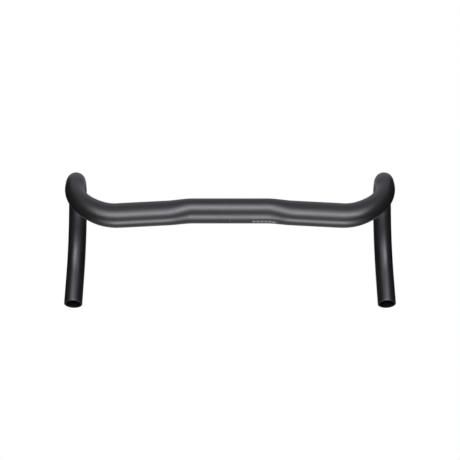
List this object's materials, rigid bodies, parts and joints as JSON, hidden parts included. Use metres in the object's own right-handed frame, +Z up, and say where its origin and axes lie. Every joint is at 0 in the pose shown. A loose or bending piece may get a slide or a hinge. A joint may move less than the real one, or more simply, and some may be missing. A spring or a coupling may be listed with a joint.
{
  "type": "drop handlebar",
  "caption": "Bare drop handlebar with a round clamp zone, oval swept tops, curved hooks and open tube ends.",
  "frame": {"origin": "centre of the stem clamp zone, on the axis of the round tube", "axes": "+X along the clamp's axis to the rider's right, +Y forward, +Z up as the bar is ridden"},
  "size_m": [0.439, 0.1367, 0.1705],
  "materials": {
    "paint": "satin",
    "bare_composite": "matte"
  },
  "bodies": {
    "root": {"centre_section": "paint", "right_drop_section": "paint", "left_drop_section": "paint", "right_joint_sleeve": "bare_composite", "left_joint_sleeve": "bare_composite"}
  },
  "joints": []
}
